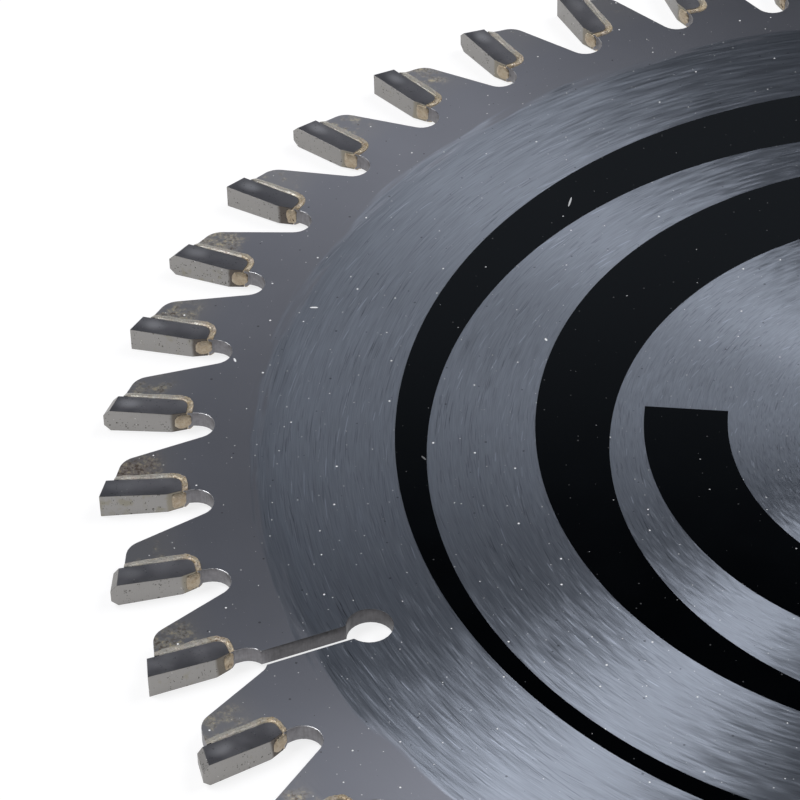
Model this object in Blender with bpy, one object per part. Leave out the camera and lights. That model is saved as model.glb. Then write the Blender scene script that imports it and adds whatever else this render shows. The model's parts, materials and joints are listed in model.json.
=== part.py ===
"""Carbide-tipped circular saw blade with triple-chip teeth. Metres, +Z along the arbor.

The origin is the centre of the bore, halfway through the plate. Seen from above (+Z) the blade
cuts counter-clockwise. The plate is one laser-cut and ground steel disc: bore, gullets, tooth
backs, tip pockets and expansion slots are all in its outline. Each carbide tip is a block brazed
into its pocket. Tips alternate between flat ones and taller ones with both corners ground off.
The braze that wells up round a tip is part of the plate it sticks to.

A tooth is laid out in its own flat frame: u runs out from the bore's centre through the cutting
edge of the flat grind, and v runs from the cutting edge towards the tooth's back.
"""

import math

import bmesh
import bpy
from mathutils import Matrix, Vector

# The blade
CUTTING_DIAMETER = 0.1600      # over the tall tips
TOOTH_SPACING = 0.0120         # along the cutting circle, before rounding to whole pairs of teeth
KERF = 0.0024                  # width of the cut, across the tips
PLATE_THICKNESS = 0.0016
BORE_DIAMETER = 0.0200

# The carbide tips
TIP_LENGTH = 0.00748           # along the rake face of a flat tip
TIP_THICKNESS = 0.00228
FLAT_TIP_DROP = 0.00025        # flat tips are ground this much lower than the tall ones
CORNER_CHAMFER = 0.00062       # both corners of a tall tip, at 45 degrees
HOOK_ANGLE = math.radians(-2.0)
TOP_RELIEF = math.radians(17.0)
RADIAL_CLEARANCE = math.radians(1.15)
TANGENTIAL_CLEARANCE = math.radians(2.0)
HEEL_RADIUS = 0.00085          # inner corner at the back of a tip
TOE_BEVEL_LENGTH = 0.00140     # inner end of the rake face
TOE_BEVEL_DEPTH = 0.00045

# The pockets and the braze
BRAZE_GAP = 0.00010            # between a tip and its pocket
BEAD_WIDTH_BACK = 0.00070      # braze bead on the plate behind a tip
BEAD_WIDTH_FLOOR = 0.00042     # braze bead below a tip's inner end
BEAD_SHORTFALL = 0.00004       # the bead stops this far short of the tip's side face

# The teeth of the plate
LAND_STEP = 0.00068            # a tip stands this far above the land behind it
LAND_ANGLE = math.radians(16.0)
SHOULDER_RADIUS = 0.00190
BACK_ANGLE = math.radians(18.7)
GULLET_DEPTH = 0.01027         # from the flat tips' cutting circle to the gullet floor
GULLET_RADIUS = 0.00175
GULLET_SETBACK = 0.00045       # the gullet wall lies this far behind the cutting edge

# The expansion slots
SLOT_COUNT = 3
SLOT_WIDTH = 0.00170
SLOT_LEAD = 0.00008            # the slot runs this far ahead of the line through gullet and hole
SLOT_HOLE_DIAMETER = 0.00412
SLOT_LENGTH = 0.00958          # from the gullet floor to the hole's centre
FIRST_SLOTTED_TOOTH = 11

# Facets on the round stretches
BORE_SEGMENTS = 96
GULLET_SEGMENTS = 12
HOLE_SEGMENTS = 24
SHOULDER_SEGMENTS = 6
HEEL_SEGMENTS = 4

# Colours, as red, green, blue
PLATE_COLOUR = (0.13, 0.135, 0.15)
CARBIDE_COLOUR = (0.16, 0.16, 0.17)

# What follows from the sizes above
TOOTH_COUNT = 2 * round(math.pi * CUTTING_DIAMETER / TOOTH_SPACING / 2.0)
PITCH = 2.0 * math.pi / TOOTH_COUNT
TALL_TIP_RADIUS = CUTTING_DIAMETER / 2.0
FLAT_TIP_RADIUS = TALL_TIP_RADIUS - FLAT_TIP_DROP
GULLET_FLOOR = FLAT_TIP_RADIUS - GULLET_DEPTH
HALF_PLATE = PLATE_THICKNESS / 2.0
SLOTTED_TEETH = [FIRST_SLOTTED_TOOTH + round(k * TOOTH_COUNT / SLOT_COUNT) for k in range(SLOT_COUNT)]


def clear_scene():
    """Remove whatever the file was opened with."""
    for item in list(bpy.data.objects):
        bpy.data.objects.remove(item, do_unlink=True)


def principled(name, colour, roughness, metallic):
    """A plain Principled material."""
    material = bpy.data.materials.new(name)
    material.use_nodes = True
    shader = material.node_tree.nodes["Principled BSDF"]
    shader.inputs["Base Color"].default_value = (*colour, 1.0)
    shader.inputs["Roughness"].default_value = roughness
    shader.inputs["Metallic"].default_value = metallic
    return material


def heading(angle):
    """Unit vector in a tooth's frame, turned from the u axis towards the v axis."""
    return Vector((math.cos(angle), math.sin(angle)))


def meet(point, direction, other_point, other_direction):
    """Where two straight lines cross."""
    across = direction.x * other_direction.y - direction.y * other_direction.x
    gap = other_point - point
    return point + direction * ((gap.x * other_direction.y - gap.y * other_direction.x) / across)


def arc(centre, radius, start, end, segments):
    """Points along an arc, both ends included."""
    step = (end - start) / segments
    return [centre + heading(start + step * k) * radius for k in range(segments + 1)]


def rounded_corner(before, corner, after, radius, segments):
    """Points of a fillet between two straight lines that meet at a corner."""
    to_before = (before - corner).normalized()
    to_after = (after - corner).normalized()
    half = to_before.angle(to_after) / 2.0
    centre = corner + (to_before + to_after).normalized() * (radius / math.sin(half))
    reach = radius / math.tan(half)
    first = corner + to_before * reach - centre
    last = corner + to_after * reach - centre
    start = math.atan2(first.y, first.x)
    sweep = (math.atan2(last.y, last.x) - start + math.pi) % (2.0 * math.pi) - math.pi
    return arc(centre, radius, start, start + sweep, segments)


def to_next_frame(point):
    """The same point, written in the frame of the tooth ahead."""
    return Vector((
        point.x * math.cos(PITCH) - point.y * math.sin(PITCH),
        point.x * math.sin(PITCH) + point.y * math.cos(PITCH),
    ))


def in_plan(point, tooth):
    """A point of a tooth's frame in the blade's own X and Y."""
    angle = PITCH * (tooth - 1)
    outward = Vector((math.cos(angle), math.sin(angle)))
    backward = Vector((math.sin(angle), -math.cos(angle)))
    return outward * point.x + backward * point.y


# The tip's own directions: along its rake face, and square to it
TIP_OUTWARD = heading(-HOOK_ANGLE)
TIP_BACKWARD = heading(math.pi / 2.0 - HOOK_ANGLE)
TIP_TOE = Vector((FLAT_TIP_RADIUS, 0.0)) - TIP_OUTWARD * TIP_LENGTH


def on_tip(length, depth):
    """A point of the tip: its length up from the toe, and its depth behind the rake face."""
    return TIP_TOE + TIP_OUTWARD * length + TIP_BACKWARD * depth


def flank_height(point):
    """Height of a tip's side face above the plate's middle plane. It falls away inwards and back."""
    from_toe = point - TIP_TOE
    length = from_toe.dot(TIP_OUTWARD)
    depth = from_toe.dot(TIP_BACKWARD)
    fall = (TIP_LENGTH - length) * math.tan(RADIAL_CLEARANCE) + depth * math.tan(TANGENTIAL_CLEARANCE)
    return KERF / 2.0 - fall


def top_heel(cutting_edge):
    """Back corner of a tip's top, which is ground with relief from its cutting edge."""
    slope = heading(math.pi / 2.0 + TOP_RELIEF)
    return meet(cutting_edge, slope, on_tip(0.0, TIP_THICKNESS), TIP_OUTWARD)


def pocket_outline(back_gap, floor_gap, radius, front_end):
    """The U-shaped line round a tip's back and inner end, from the land to its front end."""
    land_start = top_heel(on_tip(TIP_LENGTH, 0.0)) - TIP_OUTWARD * LAND_STEP
    land_slope = heading(math.pi / 2.0 + LAND_ANGLE)
    corner = on_tip(-floor_gap, TIP_THICKNESS + back_gap)
    mouth = meet(land_start, land_slope, corner, TIP_OUTWARD)
    return [mouth, *rounded_corner(mouth, corner, front_end, radius, HEEL_SEGMENTS), front_end]


def pocket_lines():
    """The pocket's edge, and the foot of the braze bead round it on the plate's face."""
    edge_end = on_tip(-BRAZE_GAP, TOE_BEVEL_DEPTH)
    edge = pocket_outline(BRAZE_GAP, BRAZE_GAP, HEEL_RADIUS + BRAZE_GAP, edge_end)
    floor = on_tip(-BRAZE_GAP - BEAD_WIDTH_FLOOR, 0.0)
    wall = Vector((0.0, GULLET_SETBACK))
    foot_end = meet(floor, TIP_BACKWARD, wall, Vector((1.0, 0.0)))
    foot = pocket_outline(
        BRAZE_GAP + BEAD_WIDTH_BACK,
        BRAZE_GAP + BEAD_WIDTH_FLOOR,
        HEEL_RADIUS + BRAZE_GAP + BEAD_WIDTH_FLOOR,
        foot_end,
    )
    return edge, foot


def gullet_centre():
    """Centre of the round gullet floor in front of a tooth."""
    return Vector((GULLET_FLOOR + GULLET_RADIUS, GULLET_SETBACK - GULLET_RADIUS))


def gullet_end_angle():
    """Where the round floor runs into the back of the tooth ahead."""
    return 1.5 * math.pi - BACK_ANGLE - PITCH


def gullet_line(slotted):
    """The gullet floor from the wall under the tip to the back of the tooth ahead."""
    centre = gullet_centre()
    end = gullet_end_angle()
    if not slotted:
        return arc(centre, GULLET_RADIUS, math.pi / 2.0, end, GULLET_SEGMENTS)
    to_back_edge = SLOT_WIDTH / 2.0 - SLOT_LEAD
    to_front_edge = SLOT_WIDTH / 2.0 + SLOT_LEAD
    hole = Vector((GULLET_FLOOR - SLOT_LENGTH, centre.y))
    hole_radius = SLOT_HOLE_DIAMETER / 2.0
    hole_start = math.asin(to_back_edge / hole_radius)
    hole_end = 2.0 * math.pi - math.asin(to_front_edge / hole_radius)
    back_mouth = math.pi - math.asin(to_back_edge / GULLET_RADIUS)
    front_mouth = math.pi + math.asin(to_front_edge / GULLET_RADIUS)
    half = GULLET_SEGMENTS // 2
    return [
        *arc(centre, GULLET_RADIUS, math.pi / 2.0, back_mouth, half),
        *arc(hole, hole_radius, hole_start, hole_end, HOLE_SEGMENTS),
        *arc(centre, GULLET_RADIUS, front_mouth, end, half),
    ]


def shoulder_line(bead_mouth):
    """The rounded shoulder between a tooth's back and the land that leads to the bead."""
    tangent = gullet_centre() + heading(gullet_end_angle()) * GULLET_RADIUS
    back_start = to_next_frame(tangent)
    land_slope = heading(math.pi / 2.0 + LAND_ANGLE)
    corner = meet(bead_mouth, land_slope, back_start, heading(-BACK_ANGLE))
    return rounded_corner(back_start, corner, bead_mouth, SHOULDER_RADIUS, SHOULDER_SEGMENTS)


def vertex(mesh, plan, height):
    """Add one vertex to a bmesh."""
    return mesh.verts.new((plan.x, plan.y, height))


def add_wall(mesh, upper, lower):
    """A closed band of quads between two rings of vertices."""
    for k in range(len(upper)):
        mesh.faces.new((upper[k - 1], upper[k], lower[k], lower[k - 1]))


def add_plate_side(mesh, side, bore_points):
    """One side of the plate: its flat face and the braze beads on it. Returns its outer and bore rings."""
    rim = []
    flat = []
    edge, foot = pocket_lines()
    for tooth in range(1, TOOTH_COUNT + 1):
        shoulder = [vertex(mesh, in_plan(p, tooth), side * HALF_PLATE) for p in shoulder_line(foot[0])]
        crest = [
            vertex(mesh, in_plan(p, tooth), side * (flank_height(p) - BEAD_SHORTFALL))
            for p in edge
        ]
        base = [vertex(mesh, in_plan(p, tooth), side * HALF_PLATE) for p in foot]
        for k in range(1, len(edge)):
            mesh.faces.new((base[k - 1], base[k], crest[k], crest[k - 1]))
        gullet = [
            vertex(mesh, in_plan(p, tooth), side * HALF_PLATE)
            for p in gullet_line(tooth in SLOTTED_TEETH)
        ]
        rim += [*shoulder, base[0], *crest, base[-1], *gullet]
        flat += [*shoulder, *base, *gullet]
    bore = [vertex(mesh, p, side * HALF_PLATE) for p in bore_points]
    borders = []
    for ring in (flat, bore):
        for k in range(len(ring)):
            pair = (ring[k - 1], ring[k])
            borders.append(mesh.edges.get(pair) or mesh.edges.new(pair))
    bmesh.ops.triangle_fill(mesh, use_beauty=True, edges=borders, normal=(0.0, 0.0, side))
    return rim, bore


def finish(name, mesh, material, transform=None):
    """Turn a bmesh into a named object with faces pointing out and round stretches shaded smooth."""
    mesh.normal_update()
    bmesh.ops.recalc_face_normals(mesh, faces=mesh.faces)
    data = bpy.data.meshes.new(name)
    mesh.to_mesh(data)
    mesh.free()
    data.materials.append(material)
    data.shade_smooth()
    data.set_sharp_from_angle(angle=math.radians(30.0))
    item = bpy.data.objects.new(name, data)
    bpy.context.collection.objects.link(item)
    if transform:
        item.matrix_world = transform
    return item


def build_plate(material):
    """The whole steel disc with its braze beads."""
    mesh = bmesh.new()
    bore_points = arc(Vector((0.0, 0.0)), BORE_DIAMETER / 2.0, 0.0, 2.0 * math.pi, BORE_SEGMENTS)[:-1]
    upper_rim, upper_bore = add_plate_side(mesh, 1.0, bore_points)
    lower_rim, lower_bore = add_plate_side(mesh, -1.0, bore_points)
    add_wall(mesh, upper_rim, lower_rim)
    add_wall(mesh, upper_bore, lower_bore)
    return finish("blade_plate", mesh, material)


def tip_profile(cutting_edge):
    """Side outline of a tip, from its cutting edge round its back to its toe."""
    heel = top_heel(cutting_edge)
    inner_corner = on_tip(0.0, TIP_THICKNESS)
    toe = on_tip(0.0, TOE_BEVEL_DEPTH)
    return [
        cutting_edge,
        heel,
        *rounded_corner(heel, inner_corner, toe, HEEL_RADIUS, HEEL_SEGMENTS),
        toe,
        on_tip(TOE_BEVEL_LENGTH, 0.0),
    ]


def grind_corner(mesh, cutting_edge, side):
    """Grind one corner off a tall tip, at 45 degrees and with the top's own relief."""
    start = Vector((cutting_edge.x, cutting_edge.y, side * (KERF / 2.0 - CORNER_CHAMFER)))
    outward = Vector((math.cos(TOP_RELIEF), math.sin(TOP_RELIEF), side * math.cos(TOP_RELIEF)))
    everything = [*mesh.verts, *mesh.edges, *mesh.faces]
    cut = bmesh.ops.bisect_plane(
        mesh, geom=everything, dist=1e-8, plane_co=start, plane_no=outward, clear_outer=True
    )
    rim = [item for item in cut["geom_cut"] if isinstance(item, bmesh.types.BMEdge)]
    bmesh.ops.edgeloop_fill(mesh, edges=rim)


def build_tip(tooth, is_tall, material):
    """One carbide tip, ground in its tooth's frame and then turned to its place round the disc."""
    cutting_edge = on_tip(TIP_LENGTH, 0.0)
    if is_tall:
        cutting_edge = meet(
            cutting_edge, TIP_OUTWARD, Vector((TALL_TIP_RADIUS, 0.0)), Vector((0.0, 1.0))
        )
    profile = tip_profile(cutting_edge)
    mesh = bmesh.new()
    upper = [vertex(mesh, p, flank_height(p)) for p in profile]
    lower = [vertex(mesh, p, -flank_height(p)) for p in profile]
    mesh.faces.new(upper)
    mesh.faces.new(lower)
    add_wall(mesh, upper, lower)
    if is_tall:
        grind_corner(mesh, cutting_edge, 1.0)
        grind_corner(mesh, cutting_edge, -1.0)
    to_blade = Matrix.Rotation(PITCH * (tooth - 1), 4, "Z") @ Matrix.Diagonal((1.0, -1.0, 1.0, 1.0))
    mesh.transform(to_blade)
    return finish(f"carbide_tip_{tooth:02d}", mesh, material)


def build_blade():
    """The plate and its ring of tips, flat and tall by turns."""
    build_plate(principled("plate_steel", PLATE_COLOUR, 0.45, 1.0))
    carbide = principled("ground_carbide", CARBIDE_COLOUR, 0.35, 1.0)
    for tooth in range(1, TOOTH_COUNT + 1):
        build_tip(tooth, tooth % 2 == 0, carbide)


clear_scene()
build_blade()
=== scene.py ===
import json
import math

import bpy
from mathutils import Matrix, Vector

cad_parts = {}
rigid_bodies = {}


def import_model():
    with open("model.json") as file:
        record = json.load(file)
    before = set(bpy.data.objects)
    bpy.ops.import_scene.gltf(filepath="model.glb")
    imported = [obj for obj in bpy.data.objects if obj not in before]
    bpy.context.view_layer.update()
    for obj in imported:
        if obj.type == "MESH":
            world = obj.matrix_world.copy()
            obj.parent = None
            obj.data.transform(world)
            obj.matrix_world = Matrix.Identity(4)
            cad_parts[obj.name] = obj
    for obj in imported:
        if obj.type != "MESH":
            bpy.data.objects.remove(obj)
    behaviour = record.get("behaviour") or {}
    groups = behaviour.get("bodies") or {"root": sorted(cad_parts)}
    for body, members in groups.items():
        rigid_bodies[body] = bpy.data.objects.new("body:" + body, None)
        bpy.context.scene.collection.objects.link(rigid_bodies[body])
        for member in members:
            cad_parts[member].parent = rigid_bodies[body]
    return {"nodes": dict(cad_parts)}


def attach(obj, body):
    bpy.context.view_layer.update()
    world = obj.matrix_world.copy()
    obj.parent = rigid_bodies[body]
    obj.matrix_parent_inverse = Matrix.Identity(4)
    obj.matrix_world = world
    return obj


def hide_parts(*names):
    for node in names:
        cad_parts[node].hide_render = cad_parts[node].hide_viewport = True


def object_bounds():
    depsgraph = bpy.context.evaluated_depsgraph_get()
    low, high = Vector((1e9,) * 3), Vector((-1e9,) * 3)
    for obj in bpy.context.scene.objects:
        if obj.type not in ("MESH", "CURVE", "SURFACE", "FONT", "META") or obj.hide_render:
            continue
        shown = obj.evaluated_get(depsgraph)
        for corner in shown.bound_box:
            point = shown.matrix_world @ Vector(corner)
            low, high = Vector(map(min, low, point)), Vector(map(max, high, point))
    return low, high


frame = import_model()
cad_low, cad_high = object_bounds()


# The camera
# It stands where the photograph was taken: low over the near side of the blade, about 40 degrees
# above the floor, with a long lens that takes in a quarter of the disc.

CAMERA_PLACE = (-0.032514, -0.252323, 0.218555)
CAMERA_BACK = (0.0598, -0.75946, 0.6478)           # from the blade towards the camera
CAMERA_UP = (-0.02319, 0.64773, 0.76152)
LENS = 163.12                                      # in millimetres, as the sensor's width is
SENSOR_WIDTH = 36.0

camera = bpy.data.objects.new("camera", bpy.data.cameras.new("camera"))
bpy.context.scene.collection.objects.link(camera)
camera.data.lens = LENS
camera.data.sensor_width = SENSOR_WIDTH
camera.data.clip_start = 0.01
look_back = Vector(CAMERA_BACK).normalized()
look_right = Vector(CAMERA_UP).cross(look_back).normalized()
look_up = look_back.cross(look_right)
camera.matrix_world = (
    Matrix.Translation(CAMERA_PLACE)
    @ Matrix((look_right, look_up, look_back)).transposed().to_4x4()
)
bpy.context.scene.camera = camera


# The studio
# A white table under two large softboxes and a dimmer card, in a room that is white at table
# height and dim above. The dim canopy shows only in reflections, where it keeps bright steel from
# looking like paper. It darkens overhead, which takes the gloss ink from dark grey on the far side
# to black on the near.

ROOM_LEVEL = 0.25                      # how strongly the white room lights the blade
TABLE_COLOUR = (0.28, 0.28, 0.29)      # as lit by the lamps
TABLE_GLOW = 0.78                      # how white it looks by itself
TABLE_WIDTH = 6.0
TABLE_GAP = 0.00001                    # the blade lies this far above the table
CANOPY_RADIUS = 2.8
CANOPY_RIM_HEIGHT = 0.55
CANOPY_COLOUR = (0.92, 0.97, 1.06)
CANOPY_LOW_LEVEL = 0.19
CANOPY_HIGH_LEVEL = 0.01
CANOPY_FADE_ANGLES = (36.9, 44.4)      # degrees above the table between which it darkens


def add_node(tree, kind, inputs=None, **settings):
    """Add one shader node. Its inputs are plain values or the outputs of other nodes."""
    made = tree.nodes.new("ShaderNode" + kind)
    for name, value in settings.items():
        setattr(made, name, value)
    for key, value in (inputs or {}).items():
        if isinstance(value, bpy.types.NodeSocket):
            tree.links.new(value, made.inputs[key])
        else:
            made.inputs[key].default_value = value
    return made


def add_math(tree, operation, *values, clamp=False):
    """Add one Math node and return what it puts out."""
    made = add_node(tree, "Math", dict(enumerate(values)), operation=operation, use_clamp=clamp)
    return made.outputs[0]


def times(tree, first, second):
    """Two numbers multiplied."""
    return add_math(tree, "MULTIPLY", first, second)


def times_plus(tree, value, factor, addend, clamp=False):
    """A number times a factor, plus another number."""
    return add_math(tree, "MULTIPLY_ADD", value, factor, addend, clamp=clamp)


def add_ramp(tree, value, low, high, low_out=0.0, high_out=1.0):
    """A smooth step: what a number between low and high becomes between the two outputs."""
    made = add_node(tree, "MapRange", {
        "Value": value, "From Min": low, "From Max": high, "To Min": low_out, "To Max": high_out,
    }, interpolation_type="SMOOTHSTEP")
    return made.outputs["Result"]


def object_point(tree):
    """Where the point being shaded lies, in the object's own axes."""
    return add_node(tree, "TexCoord").outputs["Object"]


def unit(tree, vector):
    """A vector's direction, one long."""
    return add_node(tree, "VectorMath", {0: vector}, operation="NORMALIZE").outputs[0]


def split(tree, vector):
    """The X, Y and Z of a vector."""
    return add_node(tree, "SeparateXYZ", {0: vector}).outputs


def seen_directly(tree):
    """1 where a camera, mirror or glass ray looks, and 0 where a surface is only being lit."""
    path = add_node(tree, "LightPath")
    either = add_math(tree, "MAXIMUM", path.outputs["Is Camera Ray"], path.outputs["Is Glossy Ray"])
    return add_math(tree, "MAXIMUM", either, path.outputs["Is Transmission Ray"])


def start_material(name):
    """A new material with its node tree and its Principled shader."""
    material = bpy.data.materials.new(name)
    material.use_nodes = True
    tree = material.node_tree
    return material, tree, tree.nodes["Principled BSDF"]


bpy.context.scene.view_settings.view_transform = "Standard"
world = bpy.data.worlds.new("white_room")
bpy.context.scene.world = world
world.use_nodes = True
backdrop = world.node_tree.nodes["Background"]
backdrop.inputs["Color"].default_value = (1.0, 1.0, 1.0, 1.0)
level = times_plus(world.node_tree, seen_directly(world.node_tree), 1.0 - ROOM_LEVEL, ROOM_LEVEL)
world.node_tree.links.new(level, backdrop.inputs["Strength"])

bpy.ops.object.select_all(action="DESELECT")
bpy.ops.mesh.primitive_plane_add(size=TABLE_WIDTH, location=(0.0, 0.0, cad_low.z - TABLE_GAP))
floor = bpy.context.object
floor.name = "table_top"
table_white, tree, shader = start_material("white_table")
shader.inputs["Base Color"].default_value = (*TABLE_COLOUR, 1.0)
shader.inputs["Roughness"].default_value = 1.0
shader.inputs["Specular IOR Level"].default_value = 0.0
shader.inputs["Emission Color"].default_value = (1.0, 1.0, 1.0, 1.0)
tree.links.new(times(tree, seen_directly(tree), TABLE_GLOW), shader.inputs["Emission Strength"])
floor.data.materials.append(table_white)

bpy.ops.object.select_all(action="DESELECT")
bpy.ops.mesh.primitive_uv_sphere_add(segments=48, ring_count=24, radius=CANOPY_RADIUS)
canopy = bpy.context.object
canopy.name = "dim_canopy"
bpy.ops.object.mode_set(mode="EDIT")
bpy.ops.mesh.select_all(action="SELECT")
bpy.ops.mesh.bisect(
    plane_co=(0.0, 0.0, CANOPY_RIM_HEIGHT), plane_no=(0.0, 0.0, 1.0), clear_inner=True)
bpy.ops.object.mode_set(mode="OBJECT")
dim, tree, shader = start_material("dim_cloth")
shader.inputs["Base Color"].default_value = (0.0, 0.0, 0.0, 1.0)
shader.inputs["Specular IOR Level"].default_value = 0.0
shader.inputs["Emission Color"].default_value = (*CANOPY_COLOUR, 1.0)
steepness = split(tree, unit(tree, object_point(tree)))["Z"]
fade_from, fade_to = (math.sin(math.radians(angle)) for angle in CANOPY_FADE_ANGLES)
fading = add_ramp(tree, steepness, fade_from, fade_to, CANOPY_LOW_LEVEL, CANOPY_HIGH_LEVEL)
tree.links.new(fading, shader.inputs["Emission Strength"])
canopy.data.materials.append(dim)
canopy.visible_camera = False
canopy.visible_diffuse = False
canopy.visible_transmission = False
canopy.visible_shadow = False


def hang_softbox(name, direction, distance, side, brightness):
    """Hang a square lamp that faces the blade. A mirror shows its brightness, where 1 is white."""
    lamp = bpy.data.lights.new(name, "AREA")
    lamp.shape = "RECTANGLE"
    lamp.size = side
    lamp.size_y = side
    lamp.energy = brightness * math.pi * side * side
    softbox = bpy.data.objects.new(name, lamp)
    bpy.context.scene.collection.objects.link(softbox)
    towards = Vector(direction).normalized()
    softbox.rotation_euler = towards.to_track_quat("Z", "Y").to_euler()
    softbox.location = towards * distance
    softbox.visible_camera = False


hang_softbox("softbox_right", (0.546, 0.308, 0.779), distance=1.0, side=0.42, brightness=4.75)
hang_softbox("softbox_left", (-0.545, 0.028, 0.838), distance=1.0, side=0.44, brightness=7.6)
hang_softbox("side_card", (0.465, 0.707, 0.532), distance=1.2, side=0.60, brightness=1.02)


# The plate
# One disc of hardened steel sheet, laser cut and ground flat, then brushed in circles and
# lacquered. The braze that wells up round each tip sticks to it and is part of it.

TOOTH_COUNT = 42
PITCH = 2.0 * math.pi / TOOTH_COUNT
PLATE_TOP = 0.0008
EDGE_BREAK = 0.00009
WALL_SLOPE, FLAT_SLOPE = 0.3, 0.995    # how upright the normals of walls and flat faces are
BEAD_CUTS = 5
BEAD_LUMP_SIZE = 0.0006
BEAD_LUMP_HEIGHT = 0.00030


def edit(item):
    """Select one object alone and open it for editing, with nothing selected in it."""
    bpy.ops.object.select_all(action="DESELECT")
    item.select_set(True)
    bpy.context.view_layer.objects.active = item
    bpy.ops.object.mode_set(mode="EDIT")
    bpy.ops.mesh.select_all(action="DESELECT")


def select_faces(item, wanted):
    """In edit mode, select just the faces for which wanted(face) is true."""
    bpy.ops.mesh.select_mode(type="FACE")
    bpy.ops.object.mode_set(mode="OBJECT")
    for face in item.data.polygons:
        face.select = wanted(face)
    bpy.ops.object.mode_set(mode="EDIT")


def copy_of_node(node_name, piece_name):
    """A CAD node's mesh as a new object, with its loose triangles merged into whole faces."""
    piece = bpy.data.objects.new(piece_name, frame["nodes"][node_name].data.copy())
    bpy.context.scene.collection.objects.link(piece)
    piece.data.materials.clear()
    edit(piece)
    bpy.ops.mesh.select_all(action="SELECT")
    bpy.ops.mesh.customdata_custom_splitnormals_clear()
    bpy.ops.mesh.remove_doubles(threshold=1e-6)
    bpy.ops.mesh.dissolve_limited(angle_limit=math.radians(0.2))
    bpy.ops.object.mode_set(mode="OBJECT")
    return piece


def start_group(name, inputs, outputs):
    """A new node group with number sockets. Inputs are (name, default) pairs, outputs are names."""
    group = bpy.data.node_groups.new(name, "ShaderNodeTree")
    for socket_name, default in inputs:
        socket = group.interface.new_socket(
            socket_name, in_out="INPUT", socket_type="NodeSocketFloat")
        socket.default_value = default
    for socket_name in outputs:
        group.interface.new_socket(socket_name, in_out="OUTPUT", socket_type="NodeSocketFloat")
    return group, group.nodes.new("NodeGroupInput").outputs, group.nodes.new("NodeGroupOutput")


def send_out(group, out, **values):
    """Join values to a group's outputs. Names have their spaces written as underscores."""
    for name, value in values.items():
        group.links.new(value, out.inputs[name.replace("_", " ")])


def use_group(tree, group, **inputs):
    """Place a node group and return its outputs. Input names are written with underscores."""
    made = tree.nodes.new("ShaderNodeGroup")
    made.node_tree = group
    for name, value in inputs.items():
        made.inputs[name.replace("_", " ")].default_value = value
    return made.outputs


def minus(tree, first, second):
    """One number less another."""
    return add_math(tree, "SUBTRACT", first, second)


def sway(tree, pattern, amount, base):
    """A base number, moved by how far a pattern stands above or below its middle."""
    return times_plus(tree, minus(tree, pattern, 0.5), amount, base)


def scaled(tree, vector, factor):
    """A vector or colour times a number."""
    return add_node(
        tree, "VectorMath", {0: vector, "Scale": factor}, operation="SCALE").outputs[0]


def summed(tree, first, second):
    """Two vectors added."""
    return add_node(tree, "VectorMath", {0: first, 1: second}, operation="ADD").outputs[0]


def length_of(tree, vector):
    """How long a vector is."""
    return add_node(tree, "VectorMath", {0: vector}, operation="LENGTH").outputs["Value"]


def join(tree, x, y, z=0.0):
    """A vector made of two or three numbers."""
    return add_node(tree, "CombineXYZ", {"X": x, "Y": y, "Z": z}).outputs[0]


def add_noise(tree, vector, scale, detail=2.0):
    """Cloudy noise of one scale, from 0 to 1."""
    made = add_node(tree, "TexNoise", {"Vector": vector, "Scale": scale, "Detail": detail})
    return made.outputs["Fac"]


def spread(tree, noise, low_out, high_out):
    """Cloudy noise, which seldom leaves 0.3 to 0.7, spread out between two outputs."""
    return add_ramp(tree, noise, 0.3, 0.7, low_out, high_out)


def add_tint(tree, share, first, second):
    """Mix two colours by a share from 0 to 1."""
    made = add_node(tree, "Mix", data_type="RGBA", blend_type="MIX")
    for name, value in (("Factor", share), ("A", first), ("B", second)):
        socket = next(s for s in made.inputs if s.name == name and s.enabled)
        if isinstance(value, bpy.types.NodeSocket):
            tree.links.new(value, socket)
        else:
            socket.default_value = value if name == "Factor" else (*value, 1.0)
    return next(s for s in made.outputs if s.enabled)


# Where a point lies on its own tooth: how far out from the arbor, how far behind the cutting edge,
# and three chances of its own for each tooth. Stains, burns and painted highlights follow
# the teeth.
TOOTH_CELL_START = 0.25        # a tooth's cell starts this share of the pitch before its edge
# The third chance sets how strong each tooth's painted highlight is.
CHANCE_SEEDS = (("Stain_Chance", 55753.0), ("Burn_Chance", 31354.0), ("Glow_Chance", 11280.0))

tooth_place, _, out = start_group("tooth_place", [], [
    "Radius", "Outward", "Backward", "Stain Chance", "Burn Chance", "Glow Chance"])
axes = split(tooth_place, object_point(tooth_place))
turned = times(tooth_place, add_math(tooth_place, "ARCTAN2", axes["Y"], axes["X"]), -1.0)
cell = add_math(tooth_place, "DIVIDE", turned, PITCH)
cell = add_math(tooth_place, "FLOOR", add_math(tooth_place, "ADD", cell, TOOTH_CELL_START))
local = minus(tooth_place, turned, times(tooth_place, cell, PITCH))
radius = length_of(tooth_place, join(tooth_place, axes["X"], axes["Y"]))
number = add_math(
    tooth_place, "FLOORED_MODULO", add_math(tooth_place, "ADD", cell, 0.5), float(TOOTH_COUNT))
send_out(
    tooth_place, out, Radius=radius,
    Outward=times(tooth_place, radius, add_math(tooth_place, "COSINE", local)),
    Backward=times(tooth_place, radius, add_math(tooth_place, "SINE", local)),
)
for name, seed in CHANCE_SEEDS:
    luck = add_node(tooth_place, "TexWhiteNoise", {
        "W": add_math(tooth_place, "ADD", number, seed)}, noise_dimensions="1D")
    send_out(tooth_place, out, **{name: luck.outputs["Value"]})

# Dust that settled on the blade: scattered round specks, most of them much smaller than the
# largest, whose radius is the speck size.
SMALLEST_SPECK = 0.20
SPECK_RARITY = 1.8

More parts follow.
